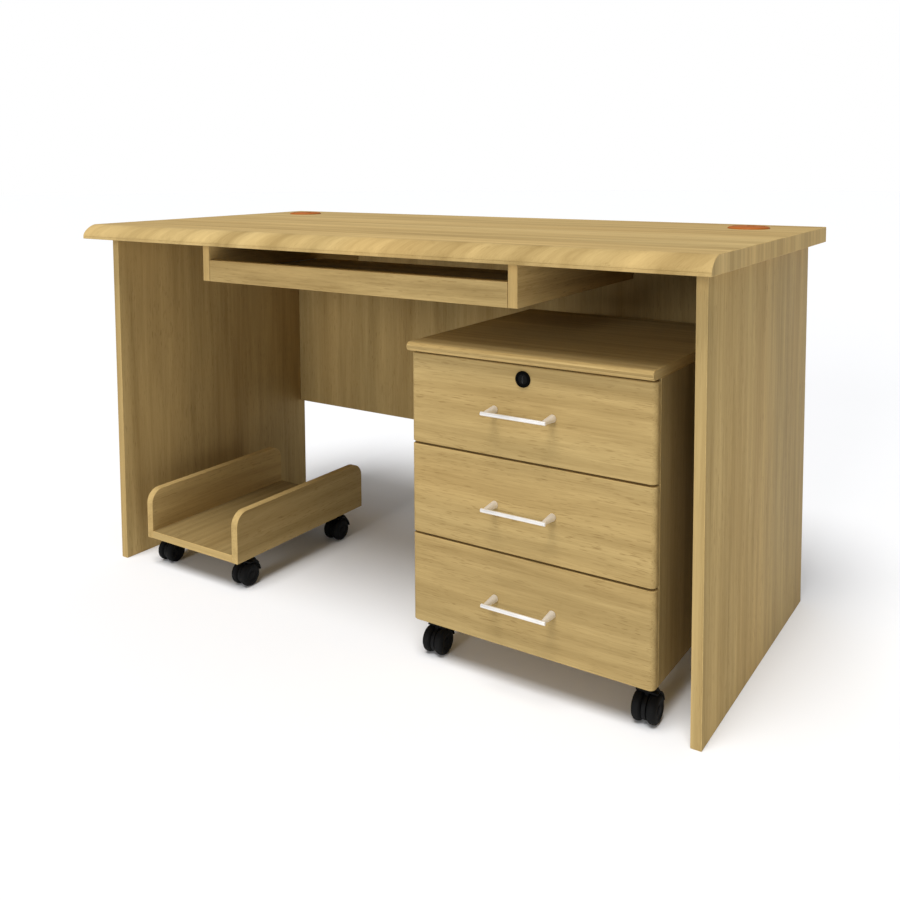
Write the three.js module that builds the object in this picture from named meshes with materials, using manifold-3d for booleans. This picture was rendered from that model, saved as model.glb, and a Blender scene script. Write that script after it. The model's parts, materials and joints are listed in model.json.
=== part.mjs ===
// Office desk with a pull-out keyboard tray, a three-drawer pedestal on casters and a low
// trolley for a computer. Millimetres, +Z up, +X to the right, the user sits on the -Y side.
// The origin is on the floor, below the middle of the desktop.
import * as THREE from 'three';
import { mergeVertices } from 'three/addons/utils/BufferGeometryUtils.js';
import Module from 'manifold-3d';

const wasm = await Module();
wasm.setup();

// ---------------------------------------------------------------- driving dimensions
const DESK_WIDTH = 1400;
const DESK_DEPTH = 700;
const DESK_HEIGHT = 760;
const TOP_THICKNESS = 30;
const TOP_LIP = 6; // upright strip at the foot of the rounded front edge
const TOP_NOSE = 32; // how far the rounded front edge runs back
const NOSE_FULLNESS = 1.6; // 1 is a straight slope and 2 is a quarter of an ellipse
const PANEL = 18;
const SIDE_OVERHANG = 24;
const FRONT_OVERHANG = 58;
const REAR_OVERHANG = 42;
const MODESTY_THICKNESS = 16;
const MODESTY_BOTTOM = 242;

const GROMMET_X = 579;
const GROMMET_Y = 236;
const GROMMET_FLANGE_RADIUS = 40;
const GROMMET_BARREL_RADIUS = 34.5;
const GROMMET_WALL = 2.5;
const GROMMET_TOP_RADIUS = 33;
const GROMMET_RISE = 4; // cap above the desktop
const GROMMET_EDGE_RISE = 1.2; // rim of the flange above the desktop
const GROMMET_RECESS = 0.5; // shallow seat for the flange in the desktop
const GROMMET_BARREL_DEPTH = 25;
const GROMMET_FIT = 0.5; // radial gap in the desktop's hole and seat
const CABLE_SLOT_WIDTH = 16;
const CABLE_SLOT_START = 8; // from the grommet's middle
const CABLE_SLOT_END = 30;

const HOUSING_WIDTH = 734;
const HOUSING_SETBACK = 40; // from the desktop's front edge
const HOUSING_DEPTH = 480;
const HOUSING_HEIGHT = 76;
const KEYBOARD_GAP = 33; // from the desktop's underside to the fascia
const FASCIA_THICKNESS = 16;
const FASCIA_SIDE_GAP = 1;
const TRAY_THICKNESS = 16;
const TRAY_DEPTH = 318;
const TRAY_RAISE = 3; // tray board above the fascia's lower edge

const RAIL_THICKNESS = 6;
const RAIL_GAP = 1;
const DRAWER_RAIL_HEIGHTS = [32, 20]; // outer, inner
const TRAY_RAIL_HEIGHTS = [16, 10];
const RAIL_LENGTH = 350;
const TRAY_RAIL_LENGTH = 305;
const OUTER_RAIL_SETBACK = 3; // behind the inner rail's front end
const INNER_RAIL_SHORTFALL = 5; // before the outer rail's rear end
const DRAWER_RAIL_START = 2; // behind the drawer front

const PEDESTAL_WIDTH = 456;
const PEDESTAL_CENTRE_X = 374;
const PEDESTAL_FRONT = -300; // face of the drawer fronts
const PEDESTAL_REAR = 137;
const PEDESTAL_BOTTOM = 74;
const PEDESTAL_TOP_UNDERSIDE = 563;
const CARCASS_BOARD = 16;
const PEDESTAL_BACK = 12;
const PEDESTAL_TOP_OVERHANG = 14;
const LOCK_BATTEN_HEIGHT = 15;
const LOCK_BATTEN_THICKNESS = 12;

const DRAWER_COUNT = 3;
const DRAWER_GAP = 4;
const DRAWER_FRONT_THICKNESS = 18;
const DRAWER_EDGE_RADIUS = 10;
const CARCASS_GAP = 1; // behind the drawer fronts
const BOX_WALL = 12;
const BOX_FLOOR = 6;
const BOX_DEPTH = 380;
const BOX_RAISE = 20; // box above its front's lower edge
const BOX_HEIGHT = 95;
const RAIL_RAISE = 12; // rail above the drawer box's underside

const HANDLE_X = 372;
const HANDLE_LENGTH = 112;
const HANDLE_PITCH = 109;
const HANDLE_RADIUS = 3.4;
const HANDLE_FOOT_RADIUS = 6.6;
const HANDLE_REACH = 35; // from the drawer front to the middle of the bar

const LOCK_X = 372;
const LOCK_Z = 537;
const LOCK_TRIM_RADIUS = 13.8;
const LOCK_TRIM_RISE = 3;
const LOCK_CHAMFER = 1;
const LOCK_TRIM_GAP = 0.3; // between the trim and the drawer front
const LOCK_BARREL_RADIUS = 9;
const LOCK_FIT = 0.5;
const LOCK_LENGTH = 37;
const LOCK_CAM_LENGTH = 22;
const LOCK_CAM_WIDTH = 10;
const LOCK_CAM_THICKNESS = 3;
const KEY_SLOT_WIDTH = 2;
const KEY_SLOT_HEIGHT = 12;
const KEY_SLOT_DEPTH = 8;

const TROLLEY_LEFT = -590;
const TROLLEY_RIGHT = -310;
const TROLLEY_FRONT = -288;
const TROLLEY_REAR = 122;
const TROLLEY_UNDERSIDE = 63;
const TROLLEY_TOP = 170;
const TROLLEY_BASE_THICKNESS = 16;
const TROLLEY_SIDE_THICKNESS = 17;
const TROLLEY_CORNER_RADIUS = 30;

const WHEEL_RADIUS = 24;
const WHEEL_HALF_WIDTH = 21;
const WHEEL_CROWN = [[0, 9], [1, 4], [7, 0]]; // [below the tread, inside the outer face]
const WEB_HALF_WIDTH = 3.5;
const WHEEL_SIDE_GAP = 1;
const AXLE_RADIUS = 3;
const AXLE_FIT = 0.5;
const CASTER_TRAIL = 18;
const HOOD_HALF_WIDTH = 19;
const HOOD_INNER_RADIUS = 25.5;
const HOOD_OUTER_RADIUS = 28.5;
const HOOD_START = THREE.MathUtils.degToRad(8); // about the axle, from the rear
const HOOD_END = THREE.MathUtils.degToRad(100);
const HOOD_TAIL = [[-4, 18], [13, 9], [15, 14], [4, 27], [-14, 27]]; // [behind stem, above axle]
const HOOD_TAIL_HALF_WIDTH = 9;
const WEB_RADIUS = 20;
const STEM_FOOT = 20; // above the axle
const STEM_RADIUS = 6;
const STEM_PIN_RADIUS = 4;
const STEM_SOCKET_RADIUS = 5;
const STEM_PIN_HEIGHT = 12;
const SOCKET_CLEARANCE = 1; // above the pin
const STEM_SEAT_GAP = 0.5;
const PEDESTAL_CASTER_INSET = 26;
const PEDESTAL_CASTER_FRONT = -241;
const PEDESTAL_CASTER_REAR = 100;
const TROLLEY_CASTER_INSET = 24;
const TROLLEY_CASTER_FRONT = -225;
const TROLLEY_CASTER_REAR = 72;

// Straight sides per full turn, or per quarter or half turn of an outline.
const ROUND_SEGMENTS = 24;
const WHEEL_SEGMENTS = 20;
const SMALL_ROUND_SEGMENTS = 12;
const SOCKET_SEGMENTS = 16;
const NOSE_SEGMENTS = 8;
const EDGE_SEGMENTS = 6;
const OVERLAP = 1; // how far joined solids and cutting tools run past each other

// ---------------------------------------------------------------- derived places
const TOP_UNDERSIDE = DESK_HEIGHT - TOP_THICKNESS;
const DESK_FRONT = -DESK_DEPTH / 2;
const SIDE_FRONT = DESK_FRONT + FRONT_OVERHANG;
const SIDE_REAR = DESK_DEPTH / 2 - REAR_OVERHANG;
const SIDE_OUTER = DESK_WIDTH / 2 - SIDE_OVERHANG;
const SIDE_INNER = SIDE_OUTER - PANEL;
const HOUSING_FRONT = DESK_FRONT + HOUSING_SETBACK;
const HOUSING_BOTTOM = TOP_UNDERSIDE - HOUSING_HEIGHT;
const HOUSING_INNER = HOUSING_WIDTH / 2 - PANEL;
const RAIL_PAIR = 2 * RAIL_THICKNESS + RAIL_GAP;
const PEDESTAL_LEFT = PEDESTAL_CENTRE_X - PEDESTAL_WIDTH / 2;
const PEDESTAL_RIGHT = PEDESTAL_CENTRE_X + PEDESTAL_WIDTH / 2;
const CARCASS_FRONT = PEDESTAL_FRONT + DRAWER_FRONT_THICKNESS + CARCASS_GAP;
const DRAWER_STACK = PEDESTAL_TOP_UNDERSIDE - DRAWER_GAP - PEDESTAL_BOTTOM;
const DRAWER_HEIGHT = (DRAWER_STACK - (DRAWER_COUNT - 1) * DRAWER_GAP) / DRAWER_COUNT;

// ---------------------------------------------------------------- materials
const finish = (color, roughness, metalness) => () =>
  new THREE.MeshStandardMaterial({ color, roughness, metalness });
const oak = finish(0xc2a468, 0.55, 0);
const plainBoard = finish(0xb9a27a, 0.7, 0);
const steel = finish(0xb8babc, 0.35, 0.9);
const aluminium = finish(0xe2e0dc, 0.3, 0.9);
const blackPlastic = finish(0x141414, 0.55, 0);
const orangePlastic = finish(0xc9702f, 0.5, 0);

// ---------------------------------------------------------------- geometry helpers
// Welds a geometry to bare positions, drops its empty triangles and turns its faces outwards.
function closed(geometry) {
  const bare = geometry.clone();
  bare.deleteAttribute('normal');
  bare.deleteAttribute('uv');
  const welded = mergeVertices(bare, 1e-4);
  const corners = Array.from(welded.index.array);
  const kept = [];
  const a = new THREE.Vector3();
  const b = new THREE.Vector3();
  const c = new THREE.Vector3();
  let volume = 0;
  for (let i = 0; i < corners.length; i += 3) {
    const [p, q, r] = corners.slice(i, i + 3);
    if (p === q || q === r || r === p) continue;
    kept.push([p, q, r]);
    a.fromBufferAttribute(welded.attributes.position, p);
    b.fromBufferAttribute(welded.attributes.position, q);
    c.fromBufferAttribute(welded.attributes.position, r);
    volume += a.dot(b.cross(c)) / 6;
  }
  const outward = volume > 0 ? kept : kept.map(([p, q, r]) => [p, r, q]);
  welded.setIndex(outward.flat());
  return welded;
}

function toSolid(geometry) {
  const welded = closed(geometry);
  return new wasm.Manifold(new wasm.Mesh({
    numProp: 3,
    vertProperties: new Float32Array(welded.attributes.position.array),
    triVerts: new Uint32Array(welded.index.array),
  }));
}

function fromSolid(solid) {
  const mesh = solid.getMesh();
  const geometry = new THREE.BufferGeometry();
  geometry.setAttribute('position', new THREE.BufferAttribute(mesh.vertProperties, 3));
  geometry.setIndex(new THREE.BufferAttribute(mesh.triVerts, 1));
  return geometry;
}

const join = (...parts) =>
  fromSolid(parts.map(toSolid).reduce((whole, part) => whole.add(part)));

const cut = (body, ...tools) =>
  fromSolid(tools.map(toSolid).reduce((left, tool) => left.subtract(tool), toSolid(body)));

// A box between two values on each axis.
function block([x0, x1], [y0, y1], [z0, z1]) {
  const geometry = new THREE.BoxGeometry(x1 - x0, y1 - y0, z1 - z0);
  return geometry.translate((x0 + x1) / 2, (y0 + y1) / 2, (z0 + z1) / 2);
}

// Extrudes an outline drawn in the YZ plane from x0 to x1.
function alongX(shape, x0, x1, curveSegments = EDGE_SEGMENTS) {
  const geometry = new THREE.ExtrudeGeometry(shape, {
    depth: x1 - x0, bevelEnabled: false, curveSegments,
  });
  const basis = new THREE.Matrix4().makeBasis(
    new THREE.Vector3(0, 1, 0), new THREE.Vector3(0, 0, 1), new THREE.Vector3(1, 0, 0));
  return geometry.applyMatrix4(basis).translate(x0, 0, 0);
}

// Extrudes an outline drawn in the XY plane from z0 to z1.
function alongZ(shape, z0, z1, curveSegments = EDGE_SEGMENTS) {
  const geometry = new THREE.ExtrudeGeometry(shape, {
    depth: z1 - z0, bevelEnabled: false, curveSegments,
  });
  return geometry.translate(0, 0, z0);
}

// Turns a profile of [radius, height] pairs about the X, Y or Z axis.
function turned(profile, axis, segments) {
  const points = profile.map(([radius, height]) => new THREE.Vector2(radius, height));
  const geometry = new THREE.LatheGeometry([...points, points[0]], segments);
  if (axis === 'x') geometry.rotateZ(-Math.PI / 2);
  if (axis === 'z') geometry.rotateX(Math.PI / 2);
  return geometry;
}

const rod = (radius, from, to, axis, segments = SOCKET_SEGMENTS) =>
  turned([[0, from], [radius, from], [radius, to], [0, to]], axis, segments);

// ---------------------------------------------------------------- scene graph helpers
const part = new THREE.Group();

function add(group, name, geometry, material) {
  const mesh = new THREE.Mesh(closed(geometry), material());
  mesh.name = name;
  group.add(mesh);
  return mesh;
}

const SIDES = [['left', -1], ['right', 1]];
// The range between two distances from the middle, on the side given by the sign.
const onSide = (sign, near, far) => (sign > 0 ? [near, far] : [-far, -near]);

// ---------------------------------------------------------------- desk frame
function desktopProfile() {
  const shape = new THREE.Shape();
  const rear = DESK_DEPTH / 2;
  shape.moveTo(rear, TOP_UNDERSIDE);
  shape.lineTo(rear, DESK_HEIGHT);
  shape.lineTo(DESK_FRONT + TOP_NOSE, DESK_HEIGHT);
  for (let i = 1; i <= NOSE_SEGMENTS; i += 1) {
    const turn = (Math.PI / 2) * (i / NOSE_SEGMENTS);
    const back = TOP_NOSE * (1 - Math.sin(turn) ** (2 / NOSE_FULLNESS));
    const rise = (TOP_THICKNESS - TOP_LIP) * Math.cos(turn) ** (2 / NOSE_FULLNESS);
    shape.lineTo(DESK_FRONT + back, TOP_UNDERSIDE + TOP_LIP + rise);
  }
  shape.lineTo(DESK_FRONT, TOP_UNDERSIDE);
  return shape;
}

function addDesktop(group) {
  const slab = alongX(desktopProfile(), -DESK_WIDTH / 2, DESK_WIDTH / 2, NOSE_SEGMENTS);
  const hole = GROMMET_BARREL_RADIUS + GROMMET_FIT;
  const seat = GROMMET_FLANGE_RADIUS + GROMMET_FIT;
  const seatFloor = DESK_HEIGHT - GROMMET_RECESS;
  const holes = SIDES.map(([, sign]) => turned([
    [0, TOP_UNDERSIDE - OVERLAP], [hole, TOP_UNDERSIDE - OVERLAP], [hole, seatFloor],
    [seat, seatFloor], [seat, DESK_HEIGHT + OVERLAP], [0, DESK_HEIGHT + OVERLAP],
  ], 'z', ROUND_SEGMENTS).translate(sign * GROMMET_X, GROMMET_Y, 0));
  add(group, 'desktop', cut(slab, ...holes), oak);
}

function addSidePanels(group) {
  for (const [side, sign] of SIDES) {
    add(group, `${side}_side_panel`, block(onSide(sign, SIDE_INNER, SIDE_OUTER),
      [SIDE_FRONT, SIDE_REAR], [0, TOP_UNDERSIDE]), oak);
  }
}

function addModestyPanel(group) {
  add(group, 'modesty_panel', block([-SIDE_INNER, SIDE_INNER],
    [SIDE_REAR - MODESTY_THICKNESS, SIDE_REAR], [MODESTY_BOTTOM, TOP_UNDERSIDE]), oak);
}

// A flanged cable grommet: an open barrel under a cap that has a slot for the cables.
function grommetGeometry() {
  const inner = GROMMET_BARREL_RADIUS - GROMMET_WALL;
  const cap = turned([
    [0, GROMMET_RISE], [GROMMET_TOP_RADIUS, GROMMET_RISE],
    [GROMMET_FLANGE_RADIUS, GROMMET_EDGE_RISE], [GROMMET_FLANGE_RADIUS, -GROMMET_RECESS],
    [GROMMET_BARREL_RADIUS, -GROMMET_RECESS], [GROMMET_BARREL_RADIUS, -GROMMET_BARREL_DEPTH],
    [inner, -GROMMET_BARREL_DEPTH], [inner, -GROMMET_RECESS], [0, -GROMMET_RECESS],
  ], 'z', ROUND_SEGMENTS);
  const slot = block([-CABLE_SLOT_WIDTH / 2, CABLE_SLOT_WIDTH / 2],
    [CABLE_SLOT_START, CABLE_SLOT_END], [-GROMMET_RECESS - OVERLAP, GROMMET_RISE + OVERLAP]);
  return cut(cap, slot);
}

function addGrommets(group) {
  for (const [side, sign] of SIDES) {
    const grommet = add(group, `${side}_cable_grommet`, grommetGeometry(), orangePlastic);
    grommet.position.set(sign * GROMMET_X, GROMMET_Y, DESK_HEIGHT);
  }
}

// ---------------------------------------------------------------- keyboard tray
function addTrayHousing(group) {
  for (const [side, sign] of SIDES) {
    add(group, `${side}_housing_board`, block(onSide(sign, HOUSING_INNER, HOUSING_WIDTH / 2),
      [HOUSING_FRONT, HOUSING_FRONT + HOUSING_DEPTH], [HOUSING_BOTTOM, TOP_UNDERSIDE]), oak);
  }
}

function addTray(group) {
  const boardFront = HOUSING_FRONT + FASCIA_THICKNESS;
  const boardBottom = HOUSING_BOTTOM + TRAY_RAISE;
  const halfFascia = HOUSING_INNER - FASCIA_SIDE_GAP;
  const halfTray = HOUSING_INNER - RAIL_PAIR;
  add(group, 'keyboard_tray_fascia', block([-halfFascia, halfFascia],
    [HOUSING_FRONT, boardFront], [HOUSING_BOTTOM, TOP_UNDERSIDE - KEYBOARD_GAP]), oak);
  add(group, 'keyboard_tray_board', block([-halfTray, halfTray],
    [boardFront, boardFront + TRAY_DEPTH], [boardBottom, boardBottom + TRAY_THICKNESS]), oak);
}

// One pair of telescopic rails: the outer one on a fixed face at x = face, the inner one
// next to it, towards the drawer or tray. inward is the direction from the face to the tray.
function addRailPair(group, prefixes, face, inward, front, length, middleZ, heights) {
  const near = face;
  const split = face + inward * RAIL_THICKNESS;
  const inner = split + inward * RAIL_GAP;
  const far = inner + inward * RAIL_THICKNESS;
  const ordered = (p, q) => [Math.min(p, q), Math.max(p, q)];
  const band = (height) => [middleZ - height / 2, middleZ + height / 2];
  add(group, `${prefixes[0]}_rail`, block(ordered(near, split),
    [front + OUTER_RAIL_SETBACK, front + length], band(heights[0])), steel);
  add(group, `${prefixes[1]}_rail`, block(ordered(inner, far),
    [front, front + length - INNER_RAIL_SHORTFALL], band(heights[1])), steel);
}

function addTrayRails(group) {
  const middleZ = HOUSING_BOTTOM + TRAY_RAISE + TRAY_THICKNESS / 2;
  for (const [side, sign] of SIDES) {
    addRailPair(group, [`${side}_tray_outer`, `${side}_tray_inner`], sign * HOUSING_INNER,
      -sign, HOUSING_FRONT + FASCIA_THICKNESS, TRAY_RAIL_LENGTH, middleZ, TRAY_RAIL_HEIGHTS);
  }
}

// ---------------------------------------------------------------- casters
// Twin wheels on one axle, turned about X.
function wheelGeometry() {
  const gap = WEB_HALF_WIDTH + WHEEL_SIDE_GAP;
  const crown = WHEEL_CROWN.map(([below, inside]) =>
    [WHEEL_RADIUS - below, WHEEL_HALF_WIDTH - inside]);
  const half = [[AXLE_RADIUS, gap], [WHEEL_RADIUS, gap], ...crown, [0, WHEEL_HALF_WIDTH]];
  const mirrored = half.map(([radius, x]) => [radius, -x]).reverse();
  return turned([...mirrored, ...half], 'x', WHEEL_SEGMENTS);
}

// The hood over the wheels, the web between them that holds the axle, and the stem.
// The stem stands on the Z axis, the axle lies CASTER_TRAIL in front of it.
function hoodGeometry(underside) {
  const axle = [-CASTER_TRAIL, WHEEL_RADIUS];
  const shield = new THREE.Shape();
  shield.absarc(...axle, HOOD_OUTER_RADIUS, HOOD_START, HOOD_END, false);
  shield.absarc(...axle, HOOD_INNER_RADIUS, HOOD_END, HOOD_START, true);
  const web = new THREE.Shape();
  web.absarc(...axle, HOOD_INNER_RADIUS + OVERLAP, HOOD_START, HOOD_END, false);
  web.absarc(...axle, WEB_RADIUS, HOOD_END, 2 * Math.PI + HOOD_START, false);
  const tail = new THREE.Shape(HOOD_TAIL.map(([y, z]) => new THREE.Vector2(y, WHEEL_RADIUS + z)));
  const collar = underside - STEM_SEAT_GAP;
  const foot = WHEEL_RADIUS + STEM_FOOT;
  const stem = turned([
    [0, foot], [STEM_RADIUS, foot], [STEM_RADIUS, collar], [STEM_PIN_RADIUS, collar],
    [STEM_PIN_RADIUS, underside + STEM_PIN_HEIGHT], [0, underside + STEM_PIN_HEIGHT],
  ], 'z', SMALL_ROUND_SEGMENTS);
  const across = HOOD_HALF_WIDTH + OVERLAP;
  const alongAxle = (radius, segments) =>
    rod(radius, -across, across, 'x', segments).translate(0, ...axle);
  const whole = join(
    alongX(shield, -HOOD_HALF_WIDTH, HOOD_HALF_WIDTH),
    alongX(web, -WEB_HALF_WIDTH, WEB_HALF_WIDTH),
    cut(alongX(tail, -HOOD_TAIL_HALF_WIDTH, HOOD_TAIL_HALF_WIDTH),
      alongAxle(HOOD_INNER_RADIUS, WHEEL_SEGMENTS)),
    stem);
  return cut(whole, alongAxle(AXLE_RADIUS + AXLE_FIT, SMALL_ROUND_SEGMENTS));
}

function addCasters(group, owner, underside, places) {
  for (const [corner, x, y] of places) {
    const caster = new THREE.Group();
    caster.position.set(x, y, 0);
    add(caster, `${owner}_${corner}_caster_hood`, hoodGeometry(underside), blackPlastic);
    const wheel = add(caster, `${owner}_${corner}_caster_wheels`, wheelGeometry(), blackPlastic);
    wheel.position.set(0, -CASTER_TRAIL, WHEEL_RADIUS);
    group.add(caster);
  }
}

const corners = (left, right, front, rear) => [
  ['front_left', left, front], ['front_right', right, front],
  ['rear_left', left, rear], ['rear_right', right, rear],
];

// A board with a blind socket under each caster's stem.
function boardWithSockets(board, underside, places) {
  const depth = STEM_PIN_HEIGHT + SOCKET_CLEARANCE;
  const sockets = places.map(([, x, y]) =>
    rod(STEM_SOCKET_RADIUS, underside - OVERLAP, underside + depth, 'z').translate(x, y, 0));
  return cut(board, ...sockets);
}

// ---------------------------------------------------------------- pedestal
const PEDESTAL_CASTERS = corners(PEDESTAL_LEFT + PEDESTAL_CASTER_INSET,
  PEDESTAL_RIGHT - PEDESTAL_CASTER_INSET, PEDESTAL_CASTER_FRONT, PEDESTAL_CASTER_REAR);

// The top board has a half-round front edge, and the batten that the lock's cam turns behind.
function pedestalTopGeometry() {
  const low = PEDESTAL_TOP_UNDERSIDE;
  const high = low + CARCASS_BOARD;
  const front = PEDESTAL_FRONT - PEDESTAL_TOP_OVERHANG;
  const nose = CARCASS_BOARD / 2;
  const shape = new THREE.Shape();
  shape.moveTo(PEDESTAL_REAR, low);
  shape.lineTo(PEDESTAL_REAR, high);
  shape.lineTo(front + nose, high);
  shape.absarc(front + nose, low + nose, nose, Math.PI / 2, Math.PI * 1.5, false);
  const batten = block([PEDESTAL_LEFT + CARCASS_BOARD, PEDESTAL_RIGHT - CARCASS_BOARD],
    [CARCASS_FRONT, CARCASS_FRONT + LOCK_BATTEN_THICKNESS],
    [low - LOCK_BATTEN_HEIGHT, low + OVERLAP]);
  return join(alongX(shape, PEDESTAL_LEFT, PEDESTAL_RIGHT, NOSE_SEGMENTS), batten);
}

function addCarcass(group) {
  const innerLeft = PEDESTAL_LEFT + CARCASS_BOARD;
  const innerRight = PEDESTAL_RIGHT - CARCASS_BOARD;
  const depth = [CARCASS_FRONT, PEDESTAL_REAR];
  const height = [PEDESTAL_BOTTOM, PEDESTAL_TOP_UNDERSIDE];
  const floor = PEDESTAL_BOTTOM + CARCASS_BOARD;
  add(group, 'pedestal_top', pedestalTopGeometry(), oak);
  add(group, 'pedestal_left_side', block([PEDESTAL_LEFT, innerLeft], depth, height), oak);
  add(group, 'pedestal_right_side', block([innerRight, PEDESTAL_RIGHT], depth, height), oak);
  add(group, 'pedestal_back', block([innerLeft, innerRight],
    [PEDESTAL_REAR - PEDESTAL_BACK, PEDESTAL_REAR], [floor, PEDESTAL_TOP_UNDERSIDE]), oak);
  const base = block([innerLeft, innerRight], depth, [PEDESTAL_BOTTOM, floor]);
  add(group, 'pedestal_base', boardWithSockets(base, PEDESTAL_BOTTOM, PEDESTAL_CASTERS), oak);
}

function drawerFrontGeometry(bottom, withLock) {
  const radius = DRAWER_EDGE_RADIUS;
  const front = PEDESTAL_FRONT;
  const back = front + DRAWER_FRONT_THICKNESS;
  const outline = new THREE.Shape();
  outline.moveTo(PEDESTAL_RIGHT, back);
  outline.lineTo(PEDESTAL_LEFT, back);
  outline.absarc(PEDESTAL_LEFT + radius, front + radius, radius, Math.PI, Math.PI * 1.5, false);
  outline.absarc(PEDESTAL_RIGHT - radius, front + radius, radius, Math.PI * 1.5, 0, false);
  const slab = alongZ(outline, bottom, bottom + DRAWER_HEIGHT);
  if (!withLock) return slab;
  const hole = rod(LOCK_BARREL_RADIUS + LOCK_FIT, front - OVERLAP, back + OVERLAP, 'y',
    ROUND_SEGMENTS)
    .translate(LOCK_X, 0, LOCK_Z);
  return cut(slab, hole);
}

function drawerBoxGeometry(bottom) {
  const left = PEDESTAL_LEFT + CARCASS_BOARD + RAIL_PAIR;
  const right = PEDESTAL_RIGHT - CARCASS_BOARD - RAIL_PAIR;
  const front = PEDESTAL_FRONT + DRAWER_FRONT_THICKNESS;
  const rear = front + BOX_DEPTH;
  const low = bottom + BOX_RAISE;
  const high = low + BOX_HEIGHT;
  return cut(block([left, right], [front, rear], [low, high]),
    block([left + BOX_WALL, right - BOX_WALL], [front + BOX_WALL, rear - BOX_WALL],
      [low + BOX_FLOOR, high + OVERLAP]));
}

// A round bar on two round posts that taper from their feet to the bar.
function handleGeometry() {
  const half = HANDLE_LENGTH / 2;
  const bar = rod(HANDLE_RADIUS, -half, half, 'x', SMALL_ROUND_SEGMENTS)
    .translate(0, -HANDLE_REACH, 0);
  const posts = SIDES.map(([, sign]) => turned([
    [0, -HANDLE_REACH], [HANDLE_RADIUS, -HANDLE_REACH], [HANDLE_FOOT_RADIUS, 0], [0, 0],
  ], 'y', SMALL_ROUND_SEGMENTS).translate(sign * HANDLE_PITCH / 2, 0, 0));
  return join(bar, ...posts);
}

function addDrawer(group, number, bottom) {
  const name = `drawer_${number}`;
  const isTop = number === 1;
  add(group, `${name}_front`, drawerFrontGeometry(bottom, isTop), oak);
  add(group, `${name}_box`, drawerBoxGeometry(bottom), plainBoard);
  const handle = add(group, `${name}_handle`, handleGeometry(), aluminium);
  handle.position.set(HANDLE_X, PEDESTAL_FRONT, bottom + DRAWER_HEIGHT / 2);
  const middleZ = bottom + BOX_RAISE + RAIL_RAISE + DRAWER_RAIL_HEIGHTS[0] / 2;
  for (const [side, sign] of SIDES) {
    const face = PEDESTAL_CENTRE_X + sign * (PEDESTAL_WIDTH / 2 - CARCASS_BOARD);
    addRailPair(group, [`cabinet_${number}_${side}`, `${name}_${side}`], face, -sign,
      PEDESTAL_FRONT + DRAWER_FRONT_THICKNESS + DRAWER_RAIL_START, RAIL_LENGTH, middleZ,
      DRAWER_RAIL_HEIGHTS);
  }
}

// The lock cylinder: a round face, a barrel through the drawer front and a cam behind it.
function lockGeometry() {
  const end = LOCK_LENGTH;
  const body = turned([
    [0, -LOCK_TRIM_RISE], [LOCK_TRIM_RADIUS - LOCK_CHAMFER, -LOCK_TRIM_RISE],
    [LOCK_TRIM_RADIUS, -LOCK_TRIM_RISE + LOCK_CHAMFER], [LOCK_TRIM_RADIUS, -LOCK_TRIM_GAP],
    [LOCK_BARREL_RADIUS, -LOCK_TRIM_GAP], [LOCK_BARREL_RADIUS, end], [0, end],
  ], 'y', ROUND_SEGMENTS);
  const half = LOCK_CAM_WIDTH / 2;
  const cam = block([0, LOCK_CAM_LENGTH], [end - LOCK_CAM_THICKNESS, end], [-half, half]);
  const keySlot = block([-KEY_SLOT_WIDTH / 2, KEY_SLOT_WIDTH / 2],
    [-LOCK_TRIM_RISE - OVERLAP, -LOCK_TRIM_RISE + KEY_SLOT_DEPTH],
    [-KEY_SLOT_HEIGHT / 2, KEY_SLOT_HEIGHT / 2]);
  return cut(join(body, cam), keySlot);
}

function addPedestal(group) {
  addCarcass(group);
  for (let index = 0; index < DRAWER_COUNT; index += 1) {
    const bottom = PEDESTAL_BOTTOM + (DRAWER_COUNT - 1 - index) * (DRAWER_HEIGHT + DRAWER_GAP);
    addDrawer(group, index + 1, bottom);
  }
  const lock = add(group, 'drawer_lock', lockGeometry(), blackPlastic);
  lock.position.set(LOCK_X, PEDESTAL_FRONT, LOCK_Z);
  addCasters(group, 'pedestal', PEDESTAL_BOTTOM, PEDESTAL_CASTERS);
}

// ---------------------------------------------------------------- computer trolley
const TROLLEY_CASTERS = corners(TROLLEY_LEFT + TROLLEY_CASTER_INSET,
  TROLLEY_RIGHT - TROLLEY_CASTER_INSET, TROLLEY_CASTER_FRONT, TROLLEY_CASTER_REAR);

function trolleySideShape() {
  const radius = TROLLEY_CORNER_RADIUS;
  const low = TROLLEY_UNDERSIDE;
  const shape = new THREE.Shape();
  shape.moveTo(TROLLEY_FRONT, low);
  shape.lineTo(TROLLEY_REAR, low);
  shape.absarc(TROLLEY_REAR - radius, TROLLEY_TOP - radius, radius, 0, Math.PI / 2, false);
  shape.absarc(TROLLEY_FRONT + radius, TROLLEY_TOP - radius, radius, Math.PI / 2, Math.PI, false);
  return shape;
}

function addTrolley(group) {
  const base = block(
    [TROLLEY_LEFT + TROLLEY_SIDE_THICKNESS, TROLLEY_RIGHT - TROLLEY_SIDE_THICKNESS],
    [TROLLEY_FRONT, TROLLEY_REAR],
    [TROLLEY_UNDERSIDE, TROLLEY_UNDERSIDE + TROLLEY_BASE_THICKNESS]);
  add(group, 'trolley_base', boardWithSockets(base, TROLLEY_UNDERSIDE, TROLLEY_CASTERS), oak);
  const side = trolleySideShape();
  add(group, 'trolley_left_side',
    alongX(side, TROLLEY_LEFT, TROLLEY_LEFT + TROLLEY_SIDE_THICKNESS), oak);
  add(group, 'trolley_right_side',
    alongX(side, TROLLEY_RIGHT - TROLLEY_SIDE_THICKNESS, TROLLEY_RIGHT), oak);
  addCasters(group, 'trolley', TROLLEY_UNDERSIDE, TROLLEY_CASTERS);
}

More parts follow.
